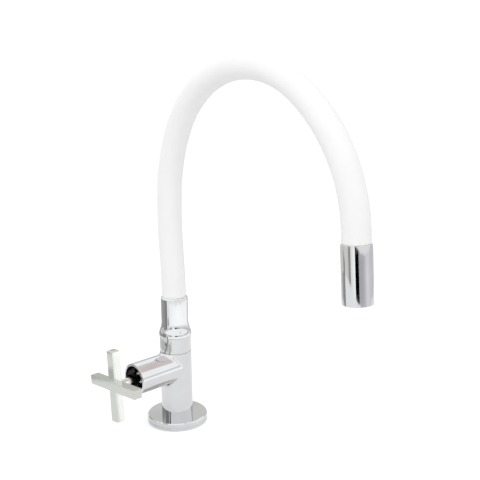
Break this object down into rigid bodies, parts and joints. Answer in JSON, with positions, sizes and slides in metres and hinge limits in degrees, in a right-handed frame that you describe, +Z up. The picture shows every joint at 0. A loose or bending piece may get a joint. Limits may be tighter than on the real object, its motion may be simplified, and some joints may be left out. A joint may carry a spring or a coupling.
{
  "type": "flexible kitchen tap",
  "caption": "Bench-mounted kitchen tap with a side valve barrel and cross handle, and a white silicone flexible hose spout that arches to a plain round aerator.",
  "frame": {"origin": "centre of the base flange's underside, on the deck", "axes": "+Z up along the column; the spout reaches to -Y and the valve barrel with its handle points to -X"},
  "size_m": [0.1083, 0.2716, 0.4229],
  "materials": {
    "polished_chrome": "polished chrome plate",
    "satin_chrome": "satin chrome plate",
    "brass": "machined brass",
    "black_plastic": "moulded black plastic",
    "stainless_steel": "stainless steel",
    "zinc_steel": "bright zinc plate",
    "white_silicone": "smooth satin silicone",
    "black_rubber": "moulded black rubber",
    "hose_plastic": "translucent plastic water hose",
    "ceramic": "lapped ceramic",
    "white_plastic": "moulded plastic"
  },
  "bodies": {
    "tap_body": {"base_flange": "polished_chrome", "base_gasket": "black_rubber", "valve_body": "polished_chrome", "threaded_shank": "brass", "rubber_deck_washer": "black_rubber", "metal_deck_washer": "zinc_steel", "backnut": "brass", "union_nut": "polished_chrome", "slip_ring": "white_plastic", "seat_gasket": "black_rubber", "fixed_disc": "ceramic", "headwork_body": "black_plastic", "headwork_seal": "black_rubber"},
    "handle": {"cross_handle": "satin_chrome", "handle_grub_screw": "stainless_steel", "spindle": "brass", "spindle_o_rings": "black_rubber", "spindle_circlip": "stainless_steel", "moving_disc": "ceramic"},
    "spout_base": {"swivel_tail": "brass", "tail_o_rings": "black_rubber", "bell_fitting": "polished_chrome", "lower_ferrule": "brass", "hose_sleeve": "white_silicone", "water_hose": "hose_plastic", "gooseneck_link_1": "stainless_steel"},
    "hose_link_2": {"gooseneck_link_2": "stainless_steel"},
    "hose_link_3": {"gooseneck_link_3": "stainless_steel"},
    "hose_link_4": {"gooseneck_link_4": "stainless_steel"},
    "hose_link_5": {"gooseneck_link_5": "stainless_steel"},
    "hose_link_6": {"gooseneck_link_6": "stainless_steel"},
    "hose_link_7": {"gooseneck_link_7": "stainless_steel"},
    "outlet": {"gooseneck_link_8": "stainless_steel", "upper_ferrule": "brass", "aerator_housing": "polished_chrome", "aerator_washer": "black_rubber", "inlet_screen": "stainless_steel", "aerator_cartridge": "white_plastic", "flow_straightener": "white_plastic"}
  },
  "joints": [
    {"name": "handle_turn", "type": "hinge", "parent": "tap_body", "child": "handle", "pos_m": [-0.0739, 0, 0.058], "axis": [-1, 0, 0], "range_deg": [0, 90]},
    {"name": "spout_swivel", "type": "hinge", "parent": "tap_body", "child": "spout_base", "pos_m": [0, 0, 0.087], "axis": [0, 0, 1], "continuous": true},
    {"name": "hose_bend_1", "type": "hinge", "parent": "spout_base", "child": "hose_link_2", "pos_m": [0, 0.00218, 0.17745], "axis": [1, 0, 0], "range_deg": [-25, 10], "deforming": ["hose_sleeve", "water_hose"]},
    {"name": "hose_sway_2", "type": "hinge", "parent": "hose_link_2", "child": "hose_link_3", "pos_m": [0, 0.00213, 0.23689], "axis": [0, 0.9972, 0.075], "range_deg": [-22, 22], "deforming": ["hose_sleeve", "water_hose"]},
    {"name": "hose_bend_3", "type": "hinge", "parent": "hose_link_3", "child": "hose_link_4", "pos_m": [0, -0.01318, 0.29403], "axis": [1, 0, 0], "range_deg": [-25, 10], "deforming": ["hose_sleeve", "water_hose"]},
    {"name": "hose_bend_4", "type": "hinge", "parent": "hose_link_4", "child": "hose_link_5", "pos_m": [0, -0.05277, 0.33731], "axis": [1, 0, 0], "range_deg": [-25, 10], "deforming": ["hose_sleeve", "water_hose"]},
    {"name": "hose_bend_5", "type": "hinge", "parent": "hose_link_5", "child": "hose_link_6", "pos_m": [0, -0.10976, 0.35094], "axis": [1, 0, 0], "range_deg": [-25, 10], "deforming": ["hose_sleeve", "water_hose"]},
    {"name": "hose_sway_6", "type": "hinge", "parent": "hose_link_6", "child": "hose_link_7", "pos_m": [0, -0.16465, 0.33026], "axis": [0, -0.6074, 0.7944], "range_deg": [-22, 22], "deforming": ["hose_sleeve", "water_hose"]},
    {"name": "hose_bend_7", "type": "hinge", "parent": "hose_link_7", "child": "outlet", "pos_m": [0, -0.20354, 0.28575], "axis": [1, 0, 0], "range_deg": [-25, 10], "deforming": ["hose_sleeve", "water_hose"]}
  ]
}
